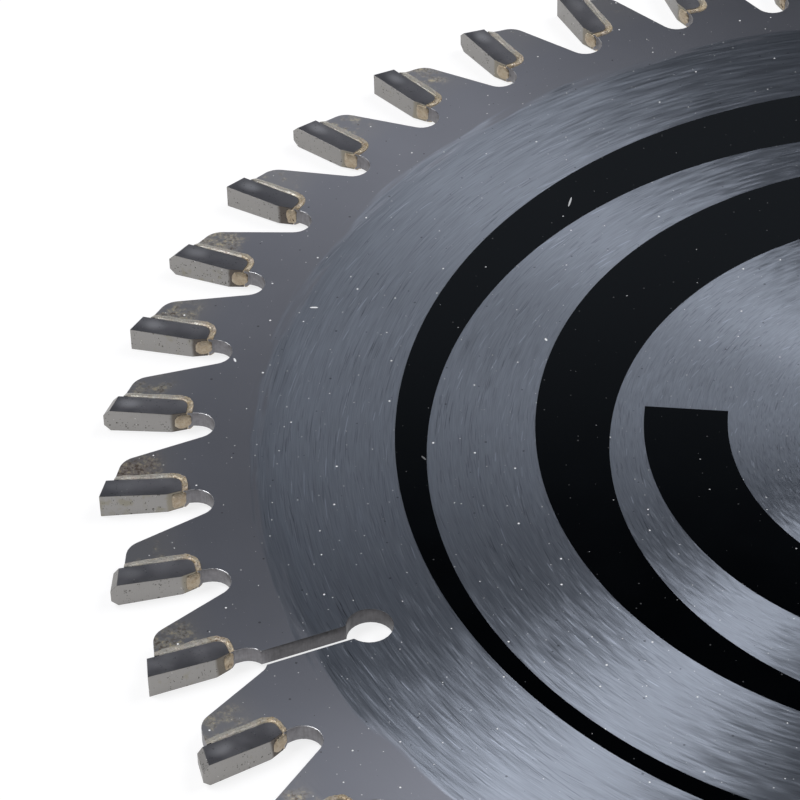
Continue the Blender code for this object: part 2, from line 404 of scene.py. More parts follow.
dust, inlet, out = start_group("dust", [("Cell Size", 0.006), ("Speck Size", 0.00012)], ["Mask"])
cells = add_node(dust, "TexVoronoi", {
    "Vector": object_point(dust), "Scale": add_math(dust, "DIVIDE", 1.0, inlet["Cell Size"]),
}, voronoi_dimensions="2D")
away = times(dust, cells.outputs["Distance"], inlet["Cell Size"])
luck = add_node(dust, "SeparateColor", {0: cells.outputs["Color"]}).outputs[0]
luck = add_math(dust, "POWER", luck, SPECK_RARITY)
luck = times_plus(dust, luck, 1.0 - SMALLEST_SPECK, SMALLEST_SPECK)
reach = times(dust, luck, inlet["Speck Size"])
send_out(dust, out, Mask=add_math(dust, "LESS_THAN", away, reach))


def from_centre(tree, inlet):
    """A point's place on the disc, seen from the centre that the group is given."""
    axes = split(tree, object_point(tree))
    offset_x = minus(tree, axes["X"], inlet["Centre X"])
    offset_y = minus(tree, axes["Y"], inlet["Centre Y"])
    return join(tree, offset_x, offset_y)


# Fine scratches: straight-sided hairlines in rows round a centre, each cut short at random.
ROW_SHIFT = 40.0               # how many pieces the rows are shifted against each other, at most
SHORTEST_HALF, HALF_SPREAD = 0.18, 0.30            # half a scratch, as a share of its place

scratches, inlet, out = start_group("scratches", [
    ("Centre X", 0.0), ("Centre Y", 0.0), ("Row Width", 0.00015), ("Pieces Round", 110.0),
    ("Share", 0.2),
], ["Value", "Luck"])
way = from_centre(scratches, inlet)
sides = split(scratches, way)
rows = add_math(scratches, "DIVIDE", length_of(scratches, way), inlet["Row Width"])
row = add_math(scratches, "FLOOR", rows)
row_luck = add_node(scratches, "TexWhiteNoise", {"W": row}, noise_dimensions="1D").outputs["Value"]
turns = add_math(scratches, "ARCTAN2", sides["Y"], sides["X"])
turns = add_math(scratches, "DIVIDE", turns, 2.0 * math.pi)
pieces = times_plus(scratches, turns, inlet["Pieces Round"], times(scratches, row_luck, ROW_SHIFT))
piece = add_math(
    scratches, "FLOORED_MODULO", add_math(scratches, "FLOOR", pieces), inlet["Pieces Round"])
key = join(scratches, add_math(scratches, "ADD", row, 0.5), add_math(scratches, "ADD", piece, 0.5))
lucks = add_node(scratches, "TexWhiteNoise", {"Vector": key}, noise_dimensions="2D")
lucks = add_node(scratches, "SeparateColor", {0: lucks.outputs["Color"]}).outputs
drawn = add_math(scratches, "LESS_THAN", lucks[0], inlet["Share"])
along = add_math(scratches, "ABSOLUTE", minus(scratches, add_math(scratches, "FRACT", pieces), 0.5))
along = add_math(
    scratches, "DIVIDE", along, times_plus(scratches, lucks[1], HALF_SPREAD, SHORTEST_HALF))
across = add_math(scratches, "ABSOLUTE", minus(scratches, add_math(scratches, "FRACT", rows), 0.5))
ends = add_ramp(scratches, along, 1.0, 0.5)
line = times(scratches, ends, add_ramp(scratches, across, 0.45, 0.15))
send_out(scratches, out, Value=times(scratches, drawn, line), Luck=lucks[2])

# Circular brushing: short fine arcs round a centre, each a little lighter or darker.
brushing, inlet, out = start_group("brushing", [
    ("Centre X", 0.0), ("Centre Y", 0.0), ("Arcs Round", 12.0), ("Arcs Across", 7000.0),
], ["Value"])
way = from_centre(brushing, inlet)
sides = split(brushing, scaled(brushing, unit(brushing, way), inlet["Arcs Round"]))
across = times(brushing, length_of(brushing, way), inlet["Arcs Across"])
grain = add_node(brushing, "TexNoise", {
    "Vector": join(brushing, sides["X"], sides["Y"], across),
    "Scale": 1.0, "Detail": 1.0, "Roughness": 0.4,
})
send_out(brushing, out, Value=grain.outputs["Fac"])


def add_fibre(tree, spot, x, y, turn, half_length, half_width):
    """1 on one short straight fibre that lies on the blade at x, y, turned by some degrees."""
    along = add_node(tree, "Mapping", {
        "Vector": spot, "Location": (x, y, 0.0), "Rotation": (0.0, 0.0, math.radians(turn)),
        "Scale": (half_length, half_width, 1.0),
    }, vector_type="TEXTURE").outputs[0]
    return add_math(tree, "LESS_THAN", length_of(tree, along), 1.0)


plate = copy_of_node("blade_plate", "saw_plate")

# The braze beads are the sloping faces at the pockets. They are divided, then puffed up unevenly.
edit(plate)
select_faces(plate, lambda face: WALL_SLOPE < abs(face.normal.z) < FLAT_SLOPE)
bpy.ops.mesh.subdivide(number_cuts=BEAD_CUTS)
select_faces(plate, lambda face: WALL_SLOPE < abs(face.normal.z) < FLAT_SLOPE)
bpy.ops.object.mode_set(mode="OBJECT")
bead_faces = {face.index for face in plate.data.polygons if face.select}

# Brushed and lacquered steel. The toothed rim is matte, and a ragged darker ring marks its start.
PLATE_BRUSHED, PLATE_MATTE = (0.338, 0.373, 0.445), (0.294, 0.305, 0.351)
BRUSHED_ROUGHNESS, MATTE_ROUGHNESS = 0.38, 0.72
MATTE_START, MATTE_FULL = 0.0647, 0.0662           # the steel turns matte between these radii
DARK_RING_RADIUS, DARK_RING_REACH, DARK_RING_TONE = 0.0646, 0.0012, 0.90
BORDER_DRIFT = 0.0020
BORDER_RAGGEDNESS = 0.0034
HAIR_CONTRAST = 0.44
# The dark scratches darken the colour. The pale ones lighten it, as a painted glint.
DARK_SCRATCH, PAINTED_SCRATCH_GLINT = -0.33, 0.55
SCRATCH_KINDS = (              # centre x and y, row width, pieces round, and the share that shows
    (0.0035, -0.002, 0.00016, 62.0, 0.24),
    (-0.004, 0.003, 0.00012, 96.0, 0.22),
    (-0.006, -0.004, 0.00014, 80.0, 0.14),
)

steel, tree, shader = start_material("brushed_steel")
place = use_group(tree, tooth_place)
spot = object_point(tree)
cloud = add_noise(tree, spot, 60.0, detail=3.0)
patch = add_noise(tree, spot, 190.0)
drift = times_plus(tree, cloud, BORDER_DRIFT, -0.5 * BORDER_DRIFT)
ring_place = add_math(tree, "ADD", place["Radius"], drift)
ragged = use_group(
    tree, brushing, Centre_X=0.002, Centre_Y=-0.001, Arcs_Round=9.0, Arcs_Across=1500.0)["Value"]
ring_place = sway(tree, ragged, BORDER_RAGGEDNESS, ring_place)
rim_share = add_ramp(tree, ring_place, MATTE_START, MATTE_FULL)
brushed_share = minus(tree, 1.0, rim_share)

hair = use_group(tree, brushing, Arcs_Round=20.0, Arcs_Across=11000.0)["Value"]
strokes = use_group(
    tree, brushing, Centre_X=-0.001, Centre_Y=0.0015, Arcs_Round=13.0, Arcs_Across=3200.0)["Value"]
cuts, nicks, shine = (
    use_group(
        tree, scratches, Centre_X=x, Centre_Y=y, Row_Width=width, Pieces_Round=count, Share=share)
    for x, y, width, count, share in SCRATCH_KINDS
)
dark_line = times(tree, cuts["Value"], times_plus(tree, cuts["Luck"], 0.7, 0.3))
dark_line = times_plus(tree, nicks["Value"], nicks["Luck"], dark_line)
dark_line = times(tree, dark_line, add_ramp(tree, patch, 0.36, 0.62, 0.25, 1.0))
# The third set of scratches is real in its lean of the normals below, but its lighter colour is a
# painted glint.
painted_glint_line = times(tree, shine["Value"], add_math(tree, "POWER", shine["Luck"], 3.0))
tone = sway(tree, hair, HAIR_CONTRAST, 1.0)
tone = times_plus(tree, dark_line, DARK_SCRATCH, tone)
tone = times_plus(tree, painted_glint_line, PAINTED_SCRATCH_GLINT, tone)
tone = times_plus(tree, minus(tree, tone, 1.0), brushed_share, 1.0)
tone = times(tree, tone, spread(tree, cloud, 0.96, 1.04))
border = add_math(tree, "ABSOLUTE", minus(tree, ring_place, DARK_RING_RADIUS))
tone = times(tree, tone, add_ramp(tree, border, 0.0, DARK_RING_REACH, DARK_RING_TONE, 1.0))
skin = scaled(tree, add_tint(tree, rim_share, PLATE_BRUSHED, PLATE_MATTE), tone)

# Heat dulled the steel between the teeth. Flux left pale or brown stains on the lands behind the
# tips, with burnt spots and cream crumbs in them. Some teeth have hardly any.
SMOKE_RADII = (0.0710, 0.0750)
LAND_OUTWARD = (0.0732, 0.0754)
LAND_BACKWARD = (0.0066, 0.0042)
SMOKED_STEEL = (0.365, 0.362, 0.372)
PALE_FLUX, BROWN_FLUX = (0.56, 0.53, 0.47), (0.44, 0.31, 0.25)
BURNT_SPOT, FLUX_CRUMB = (0.17, 0.12, 0.085), (0.74, 0.66, 0.48)

near_tip = add_ramp(tree, place["Backward"], *LAND_BACKWARD)
near_tip = times(tree, add_ramp(tree, place["Outward"], *LAND_OUTWARD), near_tip)
blotch = add_noise(tree, spot, 900.0, detail=4.0)
crumbs = add_noise(tree, spot, 3000.0, detail=3.0)
smoke = times(
    tree, add_ramp(tree, place["Radius"], *SMOKE_RADII), add_ramp(tree, cloud, 0.35, 0.60))
skin = add_tint(tree, times(tree, smoke, 0.55), skin, SMOKED_STEEL)
stained = add_ramp(tree, times_plus(tree, place["Stain Chance"], 0.50, blotch), 0.62, 0.90)
stained = times(tree, stained, near_tip)
flux = add_tint(tree, add_ramp(tree, place["Stain Chance"], 0.6, 1.0), PALE_FLUX, BROWN_FLUX)
skin = add_tint(tree, times(tree, stained, 0.65), skin, flux)
burnt = times(tree, add_ramp(tree, crumbs, 0.48, 0.36), stained)
skin = add_tint(tree, times(tree, burnt, 0.70), skin, BURNT_SPOT)
crumb = times(tree, add_ramp(tree, crumbs, 0.56, 0.60), stained)
skin = add_tint(tree, times(tree, crumb, 0.75), skin, FLUX_CRUMB)

# Pale lint and grit, three fibres and a little soot lie on it.
FIBRE_HALF_WIDTH = 0.00010
PLATE_FIBRES = (
    (-0.06167, 0.01631, 2.0, 0.00040),
    (-0.03936, 0.01226, -65.0, 0.00022),
    (-0.0685, 0.0082, -67.0, 0.00030),
)
LINT_COLOUR, SOOT_COLOUR = (0.92, 0.93, 0.95), (0.03, 0.03, 0.035)

lint = use_group(tree, dust, Cell_Size=0.0041, Speck_Size=0.000100)["Mask"]
grit = use_group(tree, dust, Cell_Size=0.0021, Speck_Size=0.000062)["Mask"]
specks = add_math(tree, "MAXIMUM", lint, times(tree, grit, 0.70))
for x, y, turn, half_length in PLATE_FIBRES:
    fibre = add_fibre(tree, spot, x, y, turn, half_length, FIBRE_HALF_WIDTH)
    specks = add_math(tree, "MAXIMUM", specks, fibre)
soot = use_group(tree, dust, Cell_Size=0.0037, Speck_Size=0.00012)["Mask"]
skin = add_tint(tree, times(tree, soot, 0.50), skin, SOOT_COLOUR)
skin = add_tint(tree, specks, skin, LINT_COLOUR)
tree.links.new(skin, shader.inputs["Base Color"])
rough = add_ramp(tree, rim_share, 0.0, 1.0, BRUSHED_ROUGHNESS, MATTE_ROUGHNESS)
rough = times_plus(tree, dark_line, 0.05, rough)
rough = add_math(tree, "MAXIMUM", rough, times(tree, specks, 0.9))
tree.links.new(rough, shader.inputs["Roughness"])
tree.links.new(minus(tree, 1.0, specks), shader.inputs["Metallic"])

# Each groove runs a degree or two off the circle, so the edges of the bright sectors are streaky.
STROKE_LEAN, HAIR_LEAN, SHINE_LEAN, CUT_LEAN = 0.16, 0.05, 0.030, -0.025

axes = split(tree, spot)
lean = sway(tree, strokes, STROKE_LEAN, 0.0)
lean = sway(tree, hair, HAIR_LEAN, lean)
lean = times_plus(tree, shine["Value"], SHINE_LEAN, lean)
lean = times_plus(tree, cuts["Value"], CUT_LEAN, lean)
lean = times(tree, lean, brushed_share)
along = unit(tree, join(tree, times(tree, axes["Y"], -1.0), axes["X"]))
face_way = add_node(tree, "NewGeometry").outputs["Normal"]
leaning = unit(tree, summed(tree, face_way, scaled(tree, along, lean)))
blast = add_noise(tree, spot, 9000.0, detail=1.0)
height = times(tree, blast, times(tree, rim_share, 0.5))
bump = add_node(tree, "Bump", {
    "Height": height, "Normal": leaning, "Strength": 0.5, "Distance": 0.00002})
tree.links.new(bump.outputs[0], shader.inputs["Normal"])
shader.inputs["Anisotropic"].default_value = 0.95
shader.inputs["Anisotropic Rotation"].default_value = 0.25
grain_way = add_node(tree, "Tangent", direction_type="RADIAL", axis="Z")
tree.links.new(grain_way.outputs[0], shader.inputs["Tangent"])

# The laser leaves fine upright ridges on every cut wall. The gullets were ground after it, so
# they are brighter than the slots.
GULLET_RADII = (0.0684, 0.0696)
SLOT_TONE, GULLET_TONE = 0.68, 1.22
WALL_DARK, WALL_LIGHT = (0.085, 0.082, 0.085), (0.28, 0.275, 0.29)
WALL_ROUGHNESS = (0.38, 0.58)

cut_steel, tree, shader = start_material("laser_cut_steel")
place = use_group(tree, tooth_place)
spot = object_point(tree)
upright = add_node(tree, "Mapping", {"Vector": spot, "Scale": (7000.0, 7000.0, 500.0)}).outputs[0]
ridges = add_noise(tree, upright, 1.0)
cloud = add_noise(tree, spot, 900.0)
smear = add_noise(tree, spot, 2400.0, detail=3.0)
tone = times_plus(tree, ridges, 0.35, times_plus(tree, smear, 0.6, -0.28))
tone = times_plus(tree, cloud, 0.6, tone, clamp=True)
ground = add_ramp(tree, place["Radius"], *GULLET_RADII, SLOT_TONE, GULLET_TONE)
skin = scaled(tree, add_tint(tree, tone, WALL_DARK, WALL_LIGHT), ground)
tree.links.new(skin, shader.inputs["Base Color"])
tree.links.new(spread(tree, cloud, *WALL_ROUGHNESS), shader.inputs["Roughness"])
shader.inputs["Metallic"].default_value = 1.0
bump = add_node(tree, "Bump", {"Height": ridges, "Strength": 0.35, "Distance": 0.00003})
tree.links.new(bump.outputs[0], shader.inputs["Normal"])

# Silver braze: pale and greyish where it ran thick, golden and brown where the torch coloured it.
# The pads in front of the tips took more of the heat.
INNER_END = (0.0742, 0.0722)
PAD_FRONT = (0.0007, 0.0004)
BRAZE_GREY, BRAZE_GOLD = (0.51, 0.500, 0.465), (0.54, 0.410, 0.230)
BRAZE_PINK, BRAZE_KNOT, BRAZE_BURNT = (0.60, 0.53, 0.50), (0.78, 0.73, 0.58), (0.23, 0.125, 0.055)
PAD_PALE, PAD_TAN = (0.50, 0.44, 0.33), (0.53, 0.405, 0.280)
BRAZE_ROUGHNESS = (0.42, 0.62)

braze, tree, shader = start_material("silver_braze")
place = use_group(tree, tooth_place)
spot = object_point(tree)
blot = add_noise(tree, spot, 2200.0, detail=3.0)
grain = add_noise(tree, spot, 7000.0)
inner = add_ramp(tree, place["Outward"], *INNER_END)
warmth = times_plus(tree, blot, 0.9, times_plus(tree, inner, 0.55, -0.42), clamp=True)
skin = add_tint(tree, warmth, BRAZE_GREY, BRAZE_GOLD)
pinkish = add_ramp(tree, add_noise(tree, spot, 1300.0), 0.50, 0.62)
skin = add_tint(tree, times(tree, pinkish, 0.4), skin, BRAZE_PINK)
knots = times(tree, add_ramp(tree, grain, 0.42, 0.34), times_plus(tree, inner, -0.15, 0.45))
skin = add_tint(tree, knots, skin, BRAZE_KNOT)
burnt = times(tree, add_ramp(tree, grain, 0.54, 0.66), times_plus(tree, inner, 0.40, 0.40))
skin = add_tint(tree, burnt, skin, BRAZE_BURNT)
in_front = add_ramp(tree, place["Backward"], *PAD_FRONT)
skin = add_tint(tree, times(tree, in_front, 0.72), skin, add_tint(tree, blot, PAD_PALE, PAD_TAN))
tree.links.new(skin, shader.inputs["Base Color"])
tree.links.new(spread(tree, blot, *BRAZE_ROUGHNESS), shader.inputs["Roughness"])
shader.inputs["Metallic"].default_value = 0.75
bump = add_node(tree, "Bump", {"Height": grain, "Strength": 0.8, "Distance": 0.00004})
tree.links.new(bump.outputs[0], shader.inputs["Normal"])

# Deburring left a narrow bright break along the edges of the teeth. The slots' edges stayed dull.
DEBURRED_RADII = (0.0690, 0.0694)
EDGE_DULL, EDGE_BRIGHT = (0.12, 0.12, 0.125), (0.54, 0.54, 0.56)
EDGE_ROUGHNESS = (0.60, 0.32)

edge_steel, tree, shader = start_material("deburred_edge")
place = use_group(tree, tooth_place)
wear = add_noise(tree, object_point(tree), 1500.0)
polish = times(
    tree, add_ramp(tree, wear, 0.30, 0.54), add_ramp(tree, place["Radius"], *DEBURRED_RADII))
tree.links.new(add_tint(tree, polish, EDGE_DULL, EDGE_BRIGHT), shader.inputs["Base Color"])
tree.links.new(add_ramp(tree, polish, 0.0, 1.0, *EDGE_ROUGHNESS), shader.inputs["Roughness"])
shader.inputs["Metallic"].default_value = 1.0

STEEL_SLOT, CUT_SLOT, BRAZE_SLOT, EDGE_SLOT = range(4)
for material in (steel, cut_steel, braze, edge_steel):
    plate.data.materials.append(material)
edit(plate)
select_faces(plate, lambda face: face.index in bead_faces)
plate.active_material_index = BRAZE_SLOT
bpy.ops.object.material_slot_assign()
bpy.ops.mesh.select_less()
bpy.ops.object.vertex_group_add()
bpy.ops.object.vertex_group_assign()
select_faces(plate, lambda face: abs(face.normal.z) < WALL_SLOPE)
plate.active_material_index = CUT_SLOT
bpy.ops.object.material_slot_assign()
bpy.ops.object.mode_set(mode="OBJECT")

ripple = bpy.data.textures.new("braze_ripple", "CLOUDS")
ripple.noise_scale = BEAD_LUMP_SIZE
bpy.ops.object.modifier_add(type="DISPLACE")
puff = plate.modifiers[-1]
puff.vertex_group = plate.vertex_groups[0].name
puff.texture = ripple
puff.texture_coords = "LOCAL"
puff.strength = BEAD_LUMP_HEIGHT
puff.mid_level = 0.05
bpy.ops.object.modifier_apply(modifier=puff.name)

# Every sharp edge is broken but those of the braze, which froze round.
edit(plate)
bpy.ops.mesh.select_mode(type="EDGE")
bpy.ops.mesh.edges_select_sharp(sharpness=math.radians(60.0))
bpy.ops.object.mode_set(mode="OBJECT")
braze_edges = {
    key for face in plate.data.polygons if face.material_index == BRAZE_SLOT
    for key in face.edge_keys
}
for edge in plate.data.edges:
    edge.select = edge.select and edge.key not in braze_edges
bpy.ops.object.mode_set(mode="EDIT")
bpy.ops.mesh.bevel(
    offset=EDGE_BREAK, segments=2, affect="EDGES", clamp_overlap=True, material=EDGE_SLOT)
bpy.ops.object.mode_set(mode="OBJECT")
bpy.ops.object.shade_smooth_by_angle(angle=math.radians(25.0))
edit(plate)
for index in (STEEL_SLOT, BRAZE_SLOT):
    select_faces(plate, lambda face: face.material_index == index)
    if index == BRAZE_SLOT:
        bpy.ops.mesh.mark_sharp(clear=True)
    bpy.ops.mesh.region_to_loop()
    bpy.ops.mesh.mark_sharp()
bpy.ops.object.mode_set(mode="OBJECT")
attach(plate, "root")
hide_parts("blade_plate")


# The printed rings
# Gloss black ink, screen printed on the upper face in two rings and an open band near the bore.
# The rings' two edges were never quite centred on each other, so they are wider on one side.

INK_TOP = PLATE_TOP + 0.000015
INK_BOTTOM = PLATE_TOP - 0.00001
RING_STEPS = 512
INK_BLACK, INK_HAZE = (0.0001, 0.0002, 0.0004), (0.0004, 0.0007, 0.0012)
INK_DUST = (0.55, 0.56, 0.58)
INK_ROUGHNESS = (0.08, 0.11)
INK_FIBRE_HALF_WIDTH = 0.00009
INK_FIBRES = (
    (-0.03763, 0.03375, -100.0, 0.00078, 1.0),
    (-0.04996, -0.00509, -51.0, 0.00034, 0.3),
)

ink, tree, shader = start_material("black_ink")
spot = object_point(tree)
lint = use_group(tree, dust, Cell_Size=0.0075, Speck_Size=0.00010)["Mask"]
grit = use_group(tree, dust, Cell_Size=0.0030, Speck_Size=0.00008)["Mask"]
specks = add_math(tree, "MAXIMUM", times(tree, lint, 0.8), times(tree, grit, 0.12))
for x, y, turn, half_length, share in INK_FIBRES:
    fibre = add_fibre(tree, spot, x, y, turn, half_length, INK_FIBRE_HALF_WIDTH)
    specks = add_math(tree, "MAXIMUM", specks, times(tree, fibre, share))
haze = add_noise(tree, spot, 160.0, detail=4.0)
skin = add_tint(tree, specks, add_tint(tree, haze, INK_BLACK, INK_HAZE), INK_DUST)
tree.links.new(skin, shader.inputs["Base Color"])
tree.links.new(spread(tree, haze, *INK_ROUGHNESS), shader.inputs["Roughness"])
shader.inputs["Specular IOR Level"].default_value = 0.5
shader.inputs["Specular Tint"].default_value = (0.76, 0.88, 1.0, 1.0)


def print_ring(name, outer_centre, outer_radius, inner_centre, inner_radius, cut=None):
    """A ring of ink between two circles. A cut, if given, is a point and a direction to cut off."""
    bpy.ops.object.select_all(action="DESELECT")
    bpy.ops.mesh.primitive_circle_add(
        vertices=RING_STEPS, radius=outer_radius, location=(*outer_centre, INK_BOTTOM))
    ring = bpy.context.object
    ring.name = name
    bpy.ops.object.transform_apply(location=True)
    bpy.ops.object.mode_set(mode="EDIT")
    bpy.ops.mesh.primitive_circle_add(
        vertices=RING_STEPS, radius=inner_radius, location=(*inner_centre, INK_BOTTOM))
    bpy.ops.mesh.select_all(action="SELECT")
    bpy.ops.mesh.bridge_edge_loops()
    if cut:
        bpy.ops.mesh.select_all(action="SELECT")
        bpy.ops.mesh.bisect(plane_co=(*cut[0], 0.0), plane_no=(*cut[1], 0.0), clear_outer=True)
    bpy.ops.mesh.select_all(action="SELECT")
    bpy.ops.mesh.extrude_region_move(
        TRANSFORM_OT_translate={"value": (0.0, 0.0, INK_TOP - INK_BOTTOM)})
    bpy.ops.mesh.select_all(action="SELECT")
    bpy.ops.mesh.normals_make_consistent(inside=False)
    bpy.ops.object.mode_set(mode="OBJECT")
    ring.data.materials.append(ink)
    bpy.ops.object.shade_smooth_by_angle(angle=math.radians(30.0))
    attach(ring, "root")


print_ring(
    "printed_ring_outer", outer_centre=(0.00116, 0.00082), outer_radius=0.05402,
    inner_centre=(-0.0013, -0.00207), inner_radius=0.04848,
)
print_ring(
    "printed_ring_inner", outer_centre=(0.00094, 0.00089), outer_radius=0.04093,
    inner_centre=(0.00243, -0.00244), inner_radius=0.03555,
)
print_ring(
    "printed_band", outer_centre=(-0.00005, 0.00048), outer_radius=0.02998,
    inner_centre=(0.00118, 0.00074), inner_radius=0.02352,
    cut=((-0.02991, 0.00289), (0.0526, 0.9986)),
)


# The carbide tips
# Pressed and sintered tungsten carbide, diamond ground on every free face after brazing. They
# alternate round the blade between flat ones and taller ones with both corners ground off.

TIP_EDGE_BREAK = 0.000025
SIDE_SLOPE = 0.95              # how upright the normals of a tip's two side faces are
PIT_KINDS = ((3000.0, 0.33), (6000.0, 0.42))       # how many to the metre, and the largest reach
PIT_RAGGEDNESS = 0.00016
BIT_SCALE, BIT_REACH = 3300.0, 0.17                # the same of the bright bits
GRINDING_LINES = (9000.0, 600.0)                   # how fine they are outwards and backwards

carbide_skin, _, out = start_group(
    "carbide_skin", [], ["Pits", "Bits", "Cloud", "Stain", "Lines"])
place = use_group(carbide_skin, tooth_place)
spot = object_point(carbide_skin)
cloud = add_noise(carbide_skin, spot, 500.0, detail=3.0)
crowd = add_ramp(carbide_skin, add_noise(carbide_skin, spot, 900.0), 0.40, 0.58, 0.25, 1.0)
shake = add_node(carbide_skin, "TexNoise", {"Vector": spot, "Scale": 9000.0, "Detail": 1.0})
shake = scaled(carbide_skin, shake.outputs["Color"], PIT_RAGGEDNESS)
ragged = summed(carbide_skin, spot, shake)
pits = 0.0
for scale, reach in PIT_KINDS:
    cells = add_node(carbide_skin, "TexVoronoi", {"Vector": ragged, "Scale": scale}).outputs
    luck = add_node(carbide_skin, "SeparateColor", {0: cells["Color"]}).outputs[0]
    size = times(carbide_skin, add_ramp(carbide_skin, luck, 0.55, 1.0, 0.0, reach), crowd)
    pit = add_math(carbide_skin, "LESS_THAN", cells["Distance"], size)
    pits = add_math(carbide_skin, "MAXIMUM", pits, pit)
cells = add_node(carbide_skin, "TexVoronoi", {"Vector": ragged, "Scale": BIT_SCALE}).outputs
luck = add_node(carbide_skin, "SeparateColor", {0: cells["Color"]}).outputs[1]
size = add_ramp(carbide_skin, luck, 0.86, 1.0, 0.0, BIT_REACH)
bits = add_math(carbide_skin, "LESS_THAN", cells["Distance"], size)
mottle = add_noise(carbide_skin, spot, 1100.0, detail=4.0)
stain = times_plus(carbide_skin, place["Stain Chance"], 0.40, mottle)
across = join(
    carbide_skin, times(carbide_skin, place["Outward"], GRINDING_LINES[0]),
    times(carbide_skin, place["Backward"], GRINDING_LINES[1]),
)
lines = add_noise(carbide_skin, across, 1.0, detail=1.0)
send_out(
    carbide_skin, out, Pits=pits, Bits=bits, Cloud=cloud,
    Stain=add_ramp(carbide_skin, stain, 0.80, 1.00), Lines=lines,
)

# The faces in front and on top are warm grey, and burnt brown at the toe where the torch played.
TOE_OUTWARD = (0.07408, 0.07372)
CARBIDE_DARK, CARBIDE_LIGHT = (0.268, 0.260, 0.252), (0.360, 0.350, 0.338)
RAKE_STAIN, RAKE_PIT, RAKE_BIT = (0.22, 0.20, 0.12), (0.045, 0.040, 0.035), (0.80, 0.79, 0.76)
TOE_TAN, TOE_BURNT = (0.26, 0.235, 0.185), (0.070, 0.056, 0.046)
RAKE_ROUGHNESS = (0.38, 0.48)

carbide, tree, shader = start_material("ground_carbide")
place = use_group(tree, tooth_place)
grain = use_group(tree, carbide_skin)
tone = times_plus(tree, grain["Cloud"], 0.7, -0.15)
tone = times_plus(tree, grain["Lines"], 0.30, tone, clamp=True)
skin = add_tint(tree, tone, CARBIDE_DARK, CARBIDE_LIGHT)
skin = add_tint(tree, times(tree, grain["Stain"], 0.45), skin, RAKE_STAIN)
toe = add_ramp(tree, times_plus(tree, grain["Cloud"], 0.0006, place["Outward"]), *TOE_OUTWARD)
toe_colour = add_tint(tree, add_ramp(tree, place["Burn Chance"], 0.2, 0.8), TOE_TAN, TOE_BURNT)
skin = add_tint(tree, times(tree, toe, 0.85), skin, toe_colour)
skin = add_tint(tree, times(tree, grain["Pits"], 0.80), skin, RAKE_PIT)
skin = add_tint(tree, times(tree, grain["Bits"], 0.70), skin, RAKE_BIT)
tree.links.new(skin, shader.inputs["Base Color"])
tree.links.new(spread(tree, grain["Cloud"], *RAKE_ROUGHNESS), shader.inputs["Roughness"])
shader.inputs["Metallic"].default_value = 1.0
bump = add_node(tree, "Bump", {"Height": grain["Lines"], "Strength": 0.15, "Distance": 0.00001})
tree.links.new(bump.outputs[0], shader.inputs["Normal"])

# The side faces came off a finer wheel. They are darker towards the front, and most have one
# painted highlight near the tip: a pale patch in their colour that stands for a lamp's reflection.
SIDE_DARK, SIDE_LIGHT = (0.305, 0.303, 0.332), (0.385, 0.383, 0.418)
SIDE_PAINTED_HIGHLIGHT, SIDE_PIT, SIDE_BIT = (0.86, 0.86, 0.90), (0.05, 0.05, 0.055), (0.80, 0.80, 0.80)
SIDE_ROUGHNESS = (0.34, 0.42)
FRONT_DEPTH, FRONT_TONE, BACK_TONE = 0.0016, 0.74, 1.02
# The painted highlight's centre on each tooth, outwards and backwards, and how far it reaches.
PAINTED_HIGHLIGHT_OUTWARD, PAINTED_HIGHLIGHT_LENGTH = 0.0777, 0.0016
PAINTED_HIGHLIGHT_BACKWARD, PAINTED_HIGHLIGHT_WIDTH = 0.0012, 0.0010

carbide_side, tree, shader = start_material("side_ground_carbide")
place = use_group(tree, tooth_place)
grain = use_group(tree, carbide_skin)
skin = add_tint(tree, grain["Cloud"], SIDE_DARK, SIDE_LIGHT)
front = add_ramp(tree, place["Backward"], 0.0, FRONT_DEPTH, FRONT_TONE, BACK_TONE)
skin = scaled(tree, skin, front)
# Painted highlight: a pale patch mixed into the colour near the tip, stronger on some teeth.
out_by = add_math(tree, "DIVIDE", minus(tree, place["Outward"], PAINTED_HIGHLIGHT_OUTWARD), PAINTED_HIGHLIGHT_LENGTH)
back_by = add_math(tree, "DIVIDE", minus(tree, place["Backward"], PAINTED_HIGHLIGHT_BACKWARD), PAINTED_HIGHLIGHT_WIDTH)
painted_highlight = add_ramp(tree, length_of(tree, join(tree, out_by, back_by)), 1.0, 0.1)
painted_highlight = times(tree, painted_highlight, times_plus(tree, place["Glow Chance"], 0.75, 0.10))
skin = add_tint(tree, painted_highlight, skin, SIDE_PAINTED_HIGHLIGHT)
skin = add_tint(tree, times(tree, grain["Pits"], 0.30), skin, SIDE_PIT)
skin = add_tint(tree, times(tree, grain["Bits"], 0.45), skin, SIDE_BIT)
tree.links.new(skin, shader.inputs["Base Color"])
tree.links.new(spread(tree, grain["Cloud"], *SIDE_ROUGHNESS), shader.inputs["Roughness"])
shader.inputs["Metallic"].default_value = 1.0

patterns = []
for number in (1, 2):
    pattern = copy_of_node(f"carbide_tip_{number:02d}", f"tip_{number:02d}")
    edit(pattern)
    bpy.ops.mesh.select_mode(type="EDGE")
    bpy.ops.mesh.edges_select_sharp(sharpness=math.radians(30.0))
    bpy.ops.mesh.bevel(offset=TIP_EDGE_BREAK, segments=1, affect="EDGES", clamp_overlap=True)
    bpy.ops.object.mode_set(mode="OBJECT")
    bpy.ops.object.shade_smooth_by_angle(angle=math.radians(20.0))
    pattern.data.materials.append(carbide)
    pattern.data.materials.append(carbide_side)
    edit(pattern)
    select_faces(pattern, lambda face: abs(face.normal.z) > SIDE_SLOPE)
    pattern.active_material_index = 1
    bpy.ops.object.material_slot_assign()
    bpy.ops.object.mode_set(mode="OBJECT")
    patterns.append(pattern)

